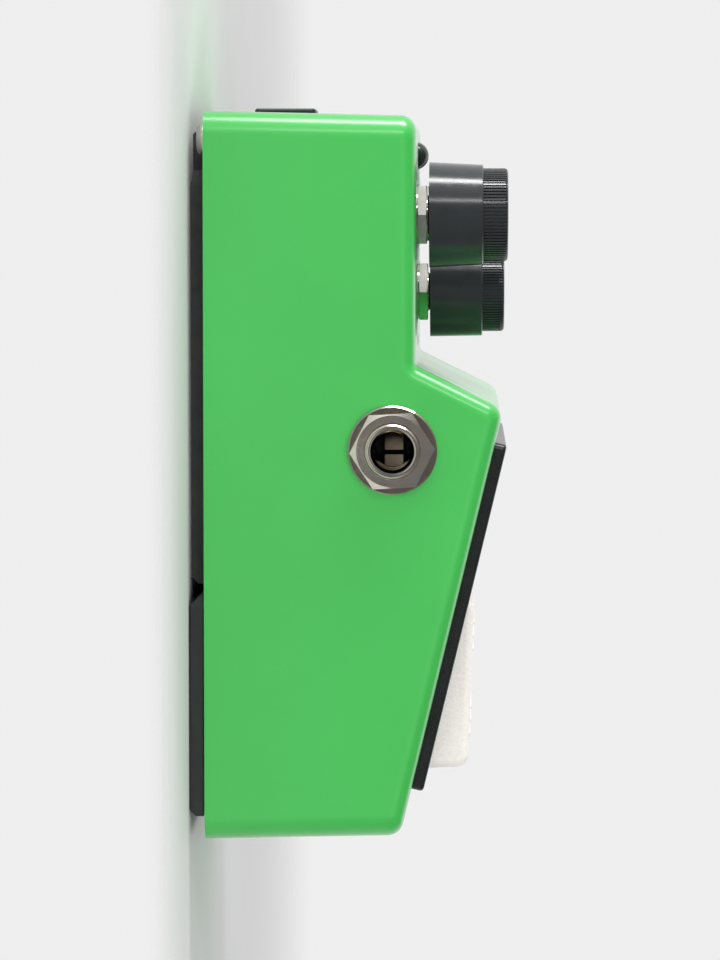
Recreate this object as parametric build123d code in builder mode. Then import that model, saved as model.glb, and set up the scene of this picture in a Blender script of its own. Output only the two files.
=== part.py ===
from build123d import *
import math
import os

# A compact guitar effects pedal, lying on its feet. Millimetres.
# +X is to the player's right, +Y is to the rear, +Z is up through the controls.
# The origin is on the floor, on the centre line, near the middle of the casing.

# ---- casing ----
BODY_W = 74.0            # across the jacks, X
NOSE_END = -63.0         # nose and rear faces at the rim, Y
REAR_END = 62.0
FOOT_H = 2.7             # the feet lift the rim this far off the floor
DECK_Z = 38.8            # control deck
STEP_Y = 18.7            # where the deck meets the rise in front of it
RIDGE_Y = 11.3           # crest between the rise and the treadle slope
RIDGE_Z = 53.8
SLOPE_DEG = 13.46        # the treadle slope falls this much towards the nose
DRAFT_DEG = 1.25         # taper of the nose and rear faces
WALL = 2.2               # casting wall
CORNER_R = 4.0           # upright corners
EDGE_R = 2.7             # rounding of the top edges
RIDGE_R = 3.0
STEP_R = 1.0

# ---- base ----
PLATE_T = 1.2            # steel base plate, let into the rim
RIM_LIP = 1.4            # casting left outside the plate
REAR_BOSS = (29.0, 57.2)   # screw bosses, mirrored in X
NOSE_BOSS = (31.4, -53.6)
REAR_BOSS_R = 3.4
NOSE_BOSS_R = 3.8
NOSE_BOSS_H = 18.0
SCREW_R = 1.5            # M3
TAP_GAP = 0.02           # tapped holes are this much larger on the radius
CLEAR_GAP = 0.15         # clearance holes
TAP_DEPTH = 12.0
BRACKET_TAP_DEPTH = 7.0
RECESS_W = 0.55          # cross recess of the screw heads
RECESS_L = 2.6
HEAD_R = 2.7
HEAD_H = 1.5
FIT = 0.05               # running clearance on a radius
FOOT_X = 28.7
FOOT_Y = (-19.3, 59.4)
FOOT_BEVEL = 1.2         # on the nose and rear edges
NOTCH_X = 21.1           # the rear corners are cut back to bare the screws
NOTCH_Y = 52.0

# ---- battery door ----
DOOR_NOSE = -58.7
DOOR_REAR = -20.4
DOOR_X = 36.0
DOOR_T = 2.5             # the door hangs a little below the plate
NOSE_BEVEL = 1.1
REAR_BEVEL = 2.2         # finger edge
SIDE_BEVEL = 0.4
HOOK_R = 3.0             # the door's curved hooks swing about its nose edge
HOOK_T = 0.8
HOOK_X = 18.0
HOOK_W = 6.0
HOOK_ARC = (-14, 94)     # degrees above the rearward direction
LATCH_Y = -21.8
LATCH_T = 1.0
LATCH_W = 9.0
LATCH_H = 4.2
FOAM_BED = 1.1           # depth of the hollow for the foam
FOAM_BED_SIZE = (50.0, 22.0)
FOAM_SIZE = (40.0, 20.0)
FOAM_X = -3.0

# ---- treadle ----
TREADLE_X = 26.0         # half width
TREADLE_REAR = -22.4
TREADLE_NOSE = -52.0
TOP_REAR_Z = 48.9
TOP_NOSE_Z = 47.85
SKIRT_DROP = 2.0         # the skirt reaches this far below the outside of the slope
TREADLE_WALL = 2.0
TREADLE_RIM = 1.2        # rounding round the side faces
OPENING_X = 27.0         # half width of the opening round the treadle
OPENING_Y = (-52.9, -21.5)
OPENING_R = 1.5          # its corners
OPENING_CUT_Z = 30.0     # the opening is cut upwards from here
TREADLE_NOSE_R = 2.2     # rounding of the top's nose and rear edges
TREADLE_REAR_R = 1.4
PAD_R = 4.0              # pad over the switch plunger
SEAT_FOOT = 42.0         # foot of the treadle's spring seats
HINGE_Y = -19.5
HINGE_Z = 41.0
LUG_R = 2.5
PIN_R = 1.5
PIN_X = 31.0             # half length of the hinge pin
CLIP_X = 29.6
CLIP_R = 3.0
CLIP_T = 0.6
MAT_T = 2.1
MAT_X = 33.0
MAT_NOSE = -54.4
MAT_REAR = 5.5
MAT_CORNER_R = 1.2
MAT_EDGE_R = 0.6

# ---- treadle bracket and switch ----
BRACKET_TOP = 27.0
BRACKET_T = 1.2
BRACKET_X = 34.5
BRACKET_Y = (-53.0, -14.0)
EAR_X = 28.3             # the two ears that hold the hinge pin
EAR_R = 2.5
SLOTS = [(-20.0, -38.0), (20.0, -38.0)]   # lightening slots
SLOT_SIZE = (14.0, 6.0)
STUD_H = 2.6
POSTS = [(x, y) for x in (-32.0, 32.0) for y in (-49.0, -27.0)]
POST_R = 3.0
SWITCH_Y = -40.0
SWITCH_W = 12.0
SWITCH_H = 4.6
SWITCH_BOARD = (17.0, 27.0)
SWITCH_BOARD_Y = -34.5
PIN_HOLE_R = 0.6         # holes in the boards for square pins
SWITCH_PINS = [(x, SWITCH_Y + 7.0) for x in (-4.5, 0, 4.5)] + [(x, SWITCH_Y - 6.6) for x in (-4.5, 4.5)]
PLUNGER_TOP = 36.0
PLUNGER_R = 2.6
PLUNGER_L = 5.0
SPRING_X = 13.0
SPRING_Y = -44.4
SPRING_R = 3.4
SPRING_TURNS = 6
SPRING_WIRE_R = 0.35
STUD_R = 2.6             # studs and seats inside the springs

# ---- controls ----
KNOBS = {
    "drive": (-22.0, 44.3, 9.1, 8.65, 8.05, 54.6),
    "tone": (0.0, 30.5, 8.05, 7.9, 7.1, 54.2),
    "level": (22.0, 44.3, 9.1, 8.65, 8.05, 54.6),
}                        # x, y, skirt foot radius, skirt top radius, grip radius, top
KNOB_FOOT = 41.0
SKIRT_TOP = 50.3
KNOB_WALL = 1.3
KNOB_HOLLOW = 8.0        # depth of the hollow underneath
HUB_R = 4.6
GRIP_RIBS = 84
GROOVE_DEPTH = 0.3
LINE_W = 1.1             # width of the pointer line
SHAFT_R = 3.0
SHAFT_FLAT = 1.5         # the D of the shaft is cut to this distance from the axis
FLAT_Z = 42.0            # the shaft is a full round below this
SHAFT_TOP = 50.0
CAN_R = 8.2
CAN_FOOT = 28.6
CAN_RIM = 34.6
CAN_T = 0.5
BUSHING_R = 3.45
WAFER_T = 1.4
EAR_OUT = 10.6           # how far the terminal ear reaches from the shaft
PIN_PITCH = 5.0
WIPER_FOOT = 30.9
WIPER_R = 5.8
WIPER_T = 1.2
POT_WASHER_R = 4.9
POT_WASHER_T = 0.2
POT_NUT_AF = 10.0        # across flats
POT_NUT_T = 1.6
POT_NUT_BEVEL = 0.16     # fall of the bevel at the nut's corners
WAFER_W = 13.0
LED_Y = 54.7
LED_R = 2.5
LED_TOP = 40.7
LED_FOOT = 33.0
LED_PITCH = 2.54
LED_PIN_Y = 51.0
LEAD_W = 0.5
LED_BEND = 4.0           # the leads are bent this far below the light

# ---- sockets ----
JACK_Y = 4.4
JACK_Z = 34.9
BORE_R = 3.25            # takes a 6.35 mm plug
SLEEVE_R = 4.6
SLEEVE_END = 40.6        # X of the sleeve's mouth
SLEEVE_L = 9.6
LEAD_IN = 1.2            # depth of the tapered mouth
LEAD_IN_DEG = 22
WASHER_R = 7.6
WASHER_T = 0.8
NUT_AF = 12.6            # across flats
NUT_T = 2.2
NUT_BEVEL = 0.64
NUT_TURN = 3.0           # degrees off square
JACK_BODY = (22.0, 16.0, 14.0)   # X, Y, Z
LEAF_X = 25.4            # where the leaf contacts enter the bore
LEAF_W = 3.2
LEAF_T = 0.6
LEAF_TIPS = (-0.9, 1.6)  # how near the jack's axis the rear and the nose leaf come
INLET_W = 12.0
INLET_Z = (9.9, 20.7)
INLET_FACE = 63.0
INLET_DEPTH = 14.0
INLET_HOLE_R = 3.2
INLET_BACK = 3.0         # closed wall behind the hole
INLET_PIN_R = 1.05
INLET_PINS = [(-4.5, 50.6), (0, 49.8), (4.5, 50.6)]

# ---- board ----
BOARD_Z = 24.4
BOARD_T = 1.6
BOARD_X = 32.0
BOARD_Y = (18.5, 52.5)
AMP = (0.0, 37.0)
ELECTROLYTICS = [        # x, y, radius, height of each can, hanging under the board
    (-6.0, 27.3, 3.15, 11.0),
    (6.0, 27.3, 3.15, 11.0),
    (-5.6, 45.4, 2.5, 9.0),
    (5.6, 45.4, 2.5, 9.0),
]
COLUMNS = (-25.0, -14.0, 14.0, 25.0)
FILM_CAPS = [(x, 42.5) for x in COLUMNS] + [(x, 23.6) for x in COLUMNS[:3]]
RESISTORS = [(x, y) for y in (27.4, 30.4, 38.4, 47.0) for x in COLUMNS]
RESISTOR_R = 0.95
RESISTOR_L = 5.2
RESISTOR_LEAD_R = 0.28
TRANSISTORS = [(-9.5, 34.1), (9.5, 34.1)]

# ---- battery ----
CELL = (44.5, 26.5, 17.5)
CELL_NOSE = -51.5
CELL_LEFT = -28.0
CELL_FOOT = 4.6
BAY_X = 29.0
BAY_Y = (-52.3, -24.2)
SNAP_T = 5.2
POLE_PITCH = 12.7
POLE_H = 2.8

# ---- wiring ----
WIRE_R = 0.6
WIRE_BEND = 2.0
LEAD_Z = 16.0            # height of the runs under the board
SWITCH_RUN_Z = 33.0      # height of the runs over the bracket

# ---- worked out from the above ----
RIM_Z = FOOT_H
PLATE_TOP = RIM_Z + PLATE_T
HALF_W = BODY_W / 2
INNER_X = HALF_W - WALL
MIDDLE_Y = (NOSE_END + REAR_END) / 2
PLATE_W = BODY_W - 2 * RIM_LIP
PLATE_L = REAR_END - NOSE_END - 2 * RIM_LIP
DECK_UNDER = DECK_Z - WALL
OPENING_MID = (0, sum(OPENING_Y) / 2)
OPENING_L = OPENING_Y[1] - OPENING_Y[0]
BAY_MID = (0, sum(BAY_Y) / 2)
BOSSES = [(s * x, y) for s in (-1, 1) for x, y in (REAR_BOSS, NOSE_BOSS)]
SPRINGS = [(-SPRING_X, SPRING_Y), (SPRING_X, SPRING_Y)]
SWITCH_BASE = BRACKET_TOP + BOARD_T
POTS = [(knob[0], knob[1]) for knob in KNOBS.values()]
POT_PINS = [
    (x + step * PIN_PITCH, y - EAR_OUT + 1.2) for x, y in POTS for step in (-1, 0, 1)
]
LED_PINS = [(-LED_PITCH / 2, LED_PIN_Y), (LED_PITCH / 2, LED_PIN_Y)]
INLET_MID = sum(INLET_Z) / 2
INLET_H = INLET_Z[1] - INLET_Z[0]
CELL_MID = (CELL_LEFT + CELL[0] / 2, CELL_NOSE + CELL[1] / 2, CELL_FOOT + CELL[2] / 2)
CELL_RIGHT = CELL_LEFT + CELL[0]
POLES = [(CELL_MID[1] + s * POLE_PITCH / 2, CELL_MID[2]) for s in (-1, 1)]
TAPER = math.tan(math.radians(DRAFT_DEG))
FALL = math.tan(math.radians(SLOPE_DEG))
SLOPE_PLANE = Plane(
    origin=(0, RIDGE_Y, RIDGE_Z),
    x_dir=(1, 0, 0),
    z_dir=(0, -math.sin(math.radians(SLOPE_DEG)), math.cos(math.radians(SLOPE_DEG))),
)

os.makedirs("parts", exist_ok=True)


def save(part, name):
    part.label = name
    export_step(part, f"parts/{name}.step")


def slope_z(y):
    """Height of the treadle slope above a place along the pedal."""
    return RIDGE_Z - FALL * (RIDGE_Y - y)


def rear_y(z):
    """Place of the tapered rear face at a height."""
    return REAR_END - TAPER * (z - RIM_Z)


def nose_y(z):
    """Place of the tapered nose face at a height."""
    return NOSE_END + TAPER * (z - RIM_Z)


def along_slope(y):
    """Distance along the slope from the ridge to a place along the pedal."""
    return (y - RIDGE_Y) / math.cos(math.radians(SLOPE_DEG))


# ---------------------------------------------------------------- housing
def casting_block(inset, foot_z, corner_r, edge_r):
    """The stepped wedge of the casing, drawn `inset` inside its outer faces."""
    nose_top = nose_y(slope_z(NOSE_END))
    outline = [
        (nose_y(foot_z), foot_z),
        (rear_y(foot_z), foot_z),
        (rear_y(DECK_Z), DECK_Z),
        (STEP_Y, DECK_Z),
        (RIDGE_Y, RIDGE_Z),
        (nose_top, slope_z(nose_top)),
    ]
    with BuildPart() as block:
        with BuildSketch(Plane.YZ) as side:
            with BuildLine():
                Polyline(*outline, close=True)
            make_face()
            if inset > 0:
                offset(amount=-inset, kind=Kind.INTERSECTION)
            fillet(side.vertices().sort_by_distance((STEP_Y, DECK_Z))[0], STEP_R)
            fillet(side.vertices().sort_by(Axis.Y)[-1], RIDGE_R - inset)
        extrude(amount=HALF_W - inset, both=True)
        upright = block.edges().filter_by(
            lambda e: e.length > 25 and abs((e @ 1 - e @ 0).Z) > 0.99 * e.length
        )
        fillet(upright, corner_r)
        side_x = HALF_W - inset - corner_r
        end = rear_y(DECK_Z) - inset - 0.5
        rim = block.edges().filter_by(
            lambda e: e.center().Z > 30
            and (abs(e.center().X) > side_x or abs(e.center().Y) > end)
        )
        fillet(rim, edge_r)
    return block.part


outer_block = casting_block(0, RIM_Z, CORNER_R, EDGE_R)
inner_block = casting_block(WALL, RIM_Z - 2 * WALL, CORNER_R - WALL, EDGE_R - WALL)

with BuildPart() as housing:
    add(outer_block)
    add(inner_block, mode=Mode.SUBTRACT)
    # rebate for the base plate
    with BuildSketch(Plane.XY.offset(RIM_Z)):
        with Locations((0, MIDDLE_Y)):
            RectangleRounded(PLATE_W, PLATE_L, CORNER_R - RIM_LIP)
    extrude(amount=PLATE_T, mode=Mode.SUBTRACT)
    # screw bosses for the base plate
    with BuildSketch(Plane.XY.offset(PLATE_TOP)):
        with Locations(*[(s * REAR_BOSS[0], REAR_BOSS[1]) for s in (-1, 1)]):
            Circle(REAR_BOSS_R)
    extrude(amount=DECK_Z - WALL / 2 - PLATE_TOP)
    with BuildSketch(Plane.XY.offset(PLATE_TOP)):
        with Locations(*[(s * NOSE_BOSS[0], NOSE_BOSS[1]) for s in (-1, 1)]):
            Circle(NOSE_BOSS_R)
    extrude(amount=NOSE_BOSS_H)
    # posts under the slope that carry the treadle bracket
    for x, y in POSTS:
        with BuildSketch(Plane.XY.offset(BRACKET_TOP)):
            with Locations((x, y)):
                Circle(POST_R)
        extrude(amount=slope_z(y) - WALL / 2 - BRACKET_TOP)
    # tapped holes, from below
    with BuildSketch(Plane.XY.offset(PLATE_TOP)):
        with Locations(*BOSSES):
            Circle(SCREW_R + TAP_GAP)
    extrude(amount=TAP_DEPTH, mode=Mode.SUBTRACT)
    with BuildSketch(Plane.XY.offset(BRACKET_TOP)):
        with Locations(*POSTS):
            Circle(SCREW_R + TAP_GAP)
    extrude(amount=BRACKET_TAP_DEPTH, mode=Mode.SUBTRACT)
    # opening for the treadle
    with BuildSketch(Plane.XY.offset(OPENING_CUT_Z)):
        with Locations(OPENING_MID):
            RectangleRounded(2 * OPENING_X, OPENING_L, OPENING_R)
    extrude(amount=RIDGE_Z - OPENING_CUT_Z, mode=Mode.SUBTRACT)
    # holes in the deck: three potentiometers and the light
    with BuildSketch(Plane.XY.offset(DECK_Z)):
        with Locations(*POTS):
            Circle(BUSHING_R + CLEAR_GAP)
        with Locations((0, LED_Y)):
            Circle(LED_R + FIT)
    extrude(amount=-2 * WALL, mode=Mode.SUBTRACT)
    # holes in the sides for the jacks
    with BuildSketch(Plane.YZ):
        with Locations((JACK_Y, JACK_Z)):
            Circle(SLEEVE_R + 0.2)
    extrude(amount=HALF_W + 2, both=True, mode=Mode.SUBTRACT)
    # hole in the rear for the power inlet
    with BuildSketch(Plane.XZ.offset(-REAR_END - 2)):
        with Locations((0, INLET_MID)):
            RectangleRounded(INLET_W + 0.2, INLET_H + 0.2, 0.9)
    extrude(amount=WALL + 5, mode=Mode.SUBTRACT)
save(housing.part, "housing")


# ---------------------------------------------------------------- base plate
with BuildPart() as base_plate:
    with BuildSketch(Plane.XY.offset(RIM_Z)):
        with Locations((0, MIDDLE_Y)):
            RectangleRounded(PLATE_W - 0.2, PLATE_L - 0.2, CORNER_R - RIM_LIP - 0.1)
        with Locations(*BOSSES):
            Circle(SCREW_R + CLEAR_GAP, mode=Mode.SUBTRACT)
        with Locations(BAY_MID):
            RectangleRounded(2 * BAY_X, BAY_Y[1] - BAY_Y[0], 2, mode=Mode.SUBTRACT)
        with Locations(*[(s * HOOK_X, DOOR_NOSE + HOOK_R) for s in (-1, 1)]):
            Rectangle(HOOK_W + 0.6, 2.0, mode=Mode.SUBTRACT)
        with Locations((0, LATCH_Y)):
            Rectangle(LATCH_W + 0.6, LATCH_T + 1.2, mode=Mode.SUBTRACT)
    extrude(amount=PLATE_T)
save(base_plate.part, "base_plate")


# ---------------------------------------------------------------- screws and nuts
def pan_screw(x, y, seat_z, shank_l, head_h):
    """A cross-recessed pan-head screw, driven upwards, its head under `seat_z`."""
    with BuildPart() as screw:
        with BuildSketch(Plane(origin=(x, y, seat_z), x_dir=(1, 0, 0), z_dir=(0, -1, 0))):
            with BuildLine():
                Polyline((0, -head_h), (1.7, -head_h))
                ThreePointArc((1.7, -head_h), (2.45, -0.75 * head_h), (HEAD_R, -0.35 * head_h))
                Polyline(
                    (HEAD_R, -0.35 * head_h), (HEAD_R, 0), (SCREW_R, 0), (SCREW_R, shank_l - 0.4),
                    (SCREW_R - 0.4, shank_l), (0, shank_l), (0, -head_h),
                )
            make_face()
        revolve(axis=Axis((x, y, 0), (0, 0, 1)))
        with BuildSketch(Plane(origin=(x, y, seat_z - head_h))):
            Rectangle(RECESS_L, RECESS_W)
            Rectangle(RECESS_W, RECESS_L)
        extrude(amount=0.75 * head_h, taper=8, mode=Mode.SUBTRACT)
    return screw.part


def hex_nut(seat, across_flats, height, bore_r, turn, bevel):
    """A hexagon nut standing on the plane `seat`; each face falls `bevel` at the corners."""
    corner_r = across_flats / math.sqrt(3)
    with BuildPart() as nut:
        with BuildSketch(seat):
            RegularPolygon(across_flats / 2, 6, major_radius=False, rotation=turn)
            Circle(bore_r, mode=Mode.SUBTRACT)
        extrude(amount=height)
        rim = Plane(origin=seat.origin, x_dir=seat.x_dir, z_dir=seat.y_dir)
        with BuildSketch(rim):
            with BuildLine():
                Polyline(
                    (across_flats / 2 - 0.2, -height), (corner_r + 0.1, bevel - height),
                    (corner_r + 0.1, -height), close=True,
                )
            make_face()
            with BuildLine():
                Polyline(
                    (across_flats / 2 - 0.2, 0), (corner_r + 0.1, -bevel),
                    (corner_r + 0.1, 0), close=True,
                )
            make_face()
        revolve(axis=Axis(seat.origin, seat.z_dir), mode=Mode.SUBTRACT)
        bore_rims = nut.edges().filter_by(GeomType.CIRCLE).filter_by(
            lambda e: abs(e.radius - bore_r) < 0.01
        )
        chamfer(bore_rims, 0.25)
    return nut.part


base_screw_solids = [pan_screw(x, y, RIM_Z, 9.0, HEAD_H) for x, y in BOSSES]
with BuildPart() as base_screws:
    add(base_screw_solids)
save(base_screws.part, "base_screws")


# ---------------------------------------------------------------- foot and battery door
with BuildPart() as rubber_foot:
    with BuildSketch(Plane.XY):
        with BuildLine():
            Polyline(
                (-FOOT_X, FOOT_Y[0]), (FOOT_X, FOOT_Y[0]), (FOOT_X, NOTCH_Y - 3),
                (NOTCH_X, NOTCH_Y), (NOTCH_X, FOOT_Y[1]), (-NOTCH_X, FOOT_Y[1]),
                (-NOTCH_X, NOTCH_Y), (-FOOT_X, NOTCH_Y - 3), close=True,
            )
        make_face()
    extrude(amount=FOOT_H)
    floor_edges = rubber_foot.edges().group_by(Axis.Z)[0].filter_by(Axis.X).sort_by(Axis.Y)
    chamfer([floor_edges[0], floor_edges[-1]], FOOT_BEVEL)
save(rubber_foot.part, "rubber_foot")

with BuildPart() as battery_door:
    with BuildSketch(Plane.YZ):
        with BuildLine():
            Polyline(
                (DOOR_NOSE, DOOR_T), (DOOR_NOSE, NOSE_BEVEL), (DOOR_NOSE + NOSE_BEVEL, 0),
                (DOOR_REAR - REAR_BEVEL, 0), (DOOR_REAR, REAR_BEVEL), (DOOR_REAR, DOOR_T), close=True,
            )
        make_face()
    extrude(amount=DOOR_X, both=True)
    chamfer(battery_door.edges().group_by(Axis.Z)[0].filter_by(Axis.Y), SIDE_BEVEL)
    # round pockets clear the heads of the two screws above the door
    with BuildSketch(Plane.XY.offset(DOOR_T)):
        with Locations(*[(s * NOSE_BOSS[0], NOSE_BOSS[1]) for s in (-1, 1)]):
            Circle(HEAD_R + 0.5)
    extrude(amount=-HEAD_H - 0.2, mode=Mode.SUBTRACT)
    # the middle is hollowed for the foam
    with BuildSketch(Plane.XY.offset(DOOR_T)):
        with Locations(BAY_MID):
            RectangleRounded(*FOAM_BED_SIZE, 1.5)
    extrude(amount=-FOAM_BED, mode=Mode.SUBTRACT)
    # hooks: arcs about the nose edge of the door
    for x in (-HOOK_X, HOOK_X):
        with BuildSketch(Plane(origin=(x, DOOR_NOSE, RIM_Z), x_dir=(0, 1, 0), z_dir=(1, 0, 0))):
            with BuildLine():
                outer = CenterArc((0, 0), HOOK_R + HOOK_T / 2, HOOK_ARC[0], HOOK_ARC[1] - HOOK_ARC[0])
                inner = CenterArc((0, 0), HOOK_R - HOOK_T / 2, HOOK_ARC[0], HOOK_ARC[1] - HOOK_ARC[0])
                Line(inner @ 0, outer @ 0)
                Line(inner @ 1, outer @ 1)
            make_face()
        extrude(amount=HOOK_W / 2, both=True)
    # latch tongue
    with BuildSketch(Plane.XY.offset(DOOR_T - 0.4)):
        with Locations((0, LATCH_Y)):
            Rectangle(LATCH_W, LATCH_T)
    extrude(amount=LATCH_H)
save(battery_door.part, "battery_door")

with BuildPart() as door_foam:
    with BuildSketch(Plane.XY.offset(DOOR_T - FOAM_BED)):
        with Locations((FOAM_X, BAY_MID[1])):
            RectangleRounded(*FOAM_SIZE, 1.0)
    extrude(amount=CELL_FOOT - 0.1 - (DOOR_T - FOAM_BED))
save(door_foam.part, "door_foam")


# ---------------------------------------------------------------- treadle mat
with BuildPart() as treadle_mat:
    mat_ends = (along_slope(MAT_NOSE), along_slope(MAT_REAR))
    with BuildSketch(SLOPE_PLANE):
        with Locations((0, sum(mat_ends) / 2)):
            RectangleRounded(2 * MAT_X, mat_ends[1] - mat_ends[0], MAT_CORNER_R)
    extrude(amount=MAT_T)
    mat_top = treadle_mat.faces().sort_by(Axis(SLOPE_PLANE.origin, SLOPE_PLANE.z_dir))[-1]
    fillet(mat_top.edges(), MAT_EDGE_R)
    with BuildSketch(Plane.XY.offset(OPENING_CUT_Z)):
        with Locations(OPENING_MID):
            RectangleRounded(2 * OPENING_X, OPENING_L, OPENING_R)
    extrude(amount=RIDGE_Z - OPENING_CUT_Z, mode=Mode.SUBTRACT)
save(treadle_mat.part, "treadle_mat")


# ---------------------------------------------------------------- treadle
with BuildPart() as treadle:
    with BuildSketch(Plane.YZ) as cap_side:
        with BuildLine():
            Polyline(
                (TREADLE_REAR, slope_z(TREADLE_REAR) - SKIRT_DROP - 0.6),
                (TREADLE_REAR, TOP_REAR_Z), (TREADLE_NOSE + 0.5, TOP_NOSE_Z),
                (TREADLE_NOSE, slope_z(TREADLE_NOSE) - SKIRT_DROP), close=True,
            )
        make_face()
        fillet(cap_side.vertices().sort_by_distance((TREADLE_NOSE, TOP_NOSE_Z))[0], TREADLE_NOSE_R)
        fillet(cap_side.vertices().sort_by_distance((TREADLE_REAR, TOP_REAR_Z))[0], TREADLE_REAR_R)
    extrude(amount=TREADLE_X, both=True)
    side_rims = treadle.edges().filter_by(
        lambda e: abs(e.center().X) > TREADLE_X - 0.01 and e.center().Z > 41.5
    )
    fillet(side_rims, TREADLE_RIM)
    # hollow underside
    with BuildSketch(Plane.YZ):
        with BuildLine():
            Polyline(
                (TREADLE_REAR - TREADLE_WALL, OPENING_CUT_Z),
                (TREADLE_REAR - TREADLE_WALL, TOP_REAR_Z - TREADLE_WALL),
                (TREADLE_NOSE + 0.5 + TREADLE_WALL, TOP_NOSE_Z - TREADLE_WALL),
                (TREADLE_NOSE + TREADLE_WALL, OPENING_CUT_Z), close=True,
            )
        make_face()
    extrude(amount=TREADLE_X - TREADLE_WALL, both=True, mode=Mode.SUBTRACT)
    # lugs that reach under the casting to the hinge pin
    for side in (-1, 1):
        with BuildSketch(Plane.YZ.offset(side * (TREADLE_X - TREADLE_WALL))):
            with BuildLine():
                Polyline(
                    (HINGE_Y, HINGE_Z + LUG_R), (HINGE_Y, HINGE_Z - LUG_R),
                    (-30, 39.2), (-30, 42.6), (-23, 43.5), close=True,
                )
            make_face()
            with Locations((HINGE_Y, HINGE_Z)):
                Circle(LUG_R)
        extrude(amount=side * TREADLE_WALL)
    # cut on the axis for the pin
    with BuildSketch(Plane.YZ):
        with Locations((HINGE_Y, HINGE_Z)):
            Circle(PIN_R + FIT)
    extrude(amount=TREADLE_X + 1, both=True, mode=Mode.SUBTRACT)
    # pad that meets the switch plunger, and seats for the two springs
    with BuildSketch(Plane.XY.offset(PLUNGER_TOP + FIT)):
        with Locations((0, SWITCH_Y)):
            Circle(PAD_R)
    extrude(amount=TOP_NOSE_Z - 1.0 - PLUNGER_TOP)
    with BuildSketch(Plane.XY.offset(SEAT_FOOT)):
        with Locations(*SPRINGS):
            Circle(STUD_R)
    extrude(amount=TOP_NOSE_Z - 1.0 - SEAT_FOOT)
save(treadle.part, "treadle")

with BuildPart() as hinge_pin:
    with BuildSketch(Plane.YZ):
        with Locations((HINGE_Y, HINGE_Z)):
            Circle(PIN_R)
    extrude(amount=PIN_X, both=True)
    chamfer(hinge_pin.edges().filter_by(GeomType.CIRCLE), 0.3)
save(hinge_pin.part, "hinge_pin")

with BuildPart() as pin_clips:
    for side in (-1, 1):
        with BuildSketch(Plane.YZ.offset(side * CLIP_X)):
            with Locations((HINGE_Y, HINGE_Z)):
                Circle(CLIP_R)
                Circle(PIN_R + 0.01, mode=Mode.SUBTRACT)
            with Locations((HINGE_Y, HINGE_Z - 2.2)):
                Rectangle(1.6, 3.2, mode=Mode.SUBTRACT)
        extrude(amount=side * CLIP_T)
save(pin_clips.part, "pin_clips")


# ---------------------------------------------------------------- treadle bracket
with BuildPart() as treadle_bracket:
    with BuildSketch(Plane.XY.offset(BRACKET_TOP - BRACKET_T)):
        with Locations((0, sum(BRACKET_Y) / 2)):
            RectangleRounded(2 * BRACKET_X, BRACKET_Y[1] - BRACKET_Y[0], 2.0)
        with Locations(*POSTS):
            Circle(SCREW_R + CLEAR_GAP, mode=Mode.SUBTRACT)
        with Locations(*SLOTS):
            SlotOverall(*SLOT_SIZE, rotation=90, mode=Mode.SUBTRACT)
    extrude(amount=BRACKET_T)
    for side in (-1, 1):
        with BuildSketch(Plane.YZ.offset(side * EAR_X)):
            with BuildLine():
                Polyline(
                    (HINGE_Y - EAR_R, HINGE_Z), (HINGE_Y - 3.2, BRACKET_TOP - BRACKET_T / 2),
                    (HINGE_Y + 3.2, BRACKET_TOP - BRACKET_T / 2), (HINGE_Y + EAR_R, HINGE_Z), close=True,
                )
            make_face()
            with Locations((HINGE_Y, HINGE_Z)):
                Circle(EAR_R)
                Circle(PIN_R, mode=Mode.SUBTRACT)
        extrude(amount=side * BRACKET_T)
    # studs that locate the two springs
    with BuildSketch(Plane.XY.offset(BRACKET_TOP - 0.2)):
        with Locations(*SPRINGS):
            Circle(STUD_R)
    extrude(amount=STUD_H)
save(treadle_bracket.part, "treadle_bracket")

bracket_screw_solids = [pan_screw(x, y, BRACKET_TOP - BRACKET_T, 6.5, 1.3) for x, y in POSTS]
with BuildPart() as bracket_screws:
    add(bracket_screw_solids)
save(bracket_screws.part, "bracket_screws")


# ---------------------------------------------------------------- return springs
spring_foot = BRACKET_TOP + SPRING_WIRE_R + 0.02
spring_top = TOP_NOSE_Z - TREADLE_WALL - SPRING_WIRE_R - 0.1


def coil_spring(x, y):
    """An open compression spring that stands on the bracket."""
    height = spring_top - spring_foot
    with BuildPart() as spring:
        with BuildLine():
            Helix(height / SPRING_TURNS, height, SPRING_R, center=(x, y, spring_foot))
        with BuildSketch(Plane(origin=(x + SPRING_R, y, spring_foot), z_dir=(0, 1, 0))):
            Circle(SPRING_WIRE_R)
        sweep(is_frenet=True)
    return spring.part


spring_solids = [coil_spring(x, y) for x, y in SPRINGS]
with BuildPart() as treadle_springs:
    add(spring_solids)
save(treadle_springs.part, "treadle_springs")


# ---------------------------------------------------------------- foot switch
with BuildPart() as switch_board:
    with BuildSketch(Plane.XY.offset(BRACKET_TOP)):
        with Locations((0, SWITCH_BOARD_Y)):
            Rectangle(*SWITCH_BOARD)
        with Locations(*SWITCH_PINS):
            Circle(PIN_HOLE_R, mode=Mode.SUBTRACT)
    extrude(amount=BOARD_T)
save(switch_board.part, "switch_board")

with BuildPart() as switch_case:
    with BuildSketch(Plane.XY.offset(SWITCH_BASE)):
        with Locations((0, SWITCH_Y)):
            RectangleRounded(SWITCH_W, SWITCH_W, 0.8)
    extrude(amount=SWITCH_H)
    chamfer(switch_case.faces().sort_by(Axis.Z)[-1].edges(), 0.3)
    with BuildSketch(Plane.XY.offset(SWITCH_BASE + SWITCH_H)):
        with Locations((0, SWITCH_Y)):
            Circle(PLUNGER_R + FIT)
    extrude(amount=0.4 - SWITCH_H, mode=Mode.SUBTRACT)
save(switch_case.part, "switch_case")

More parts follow.
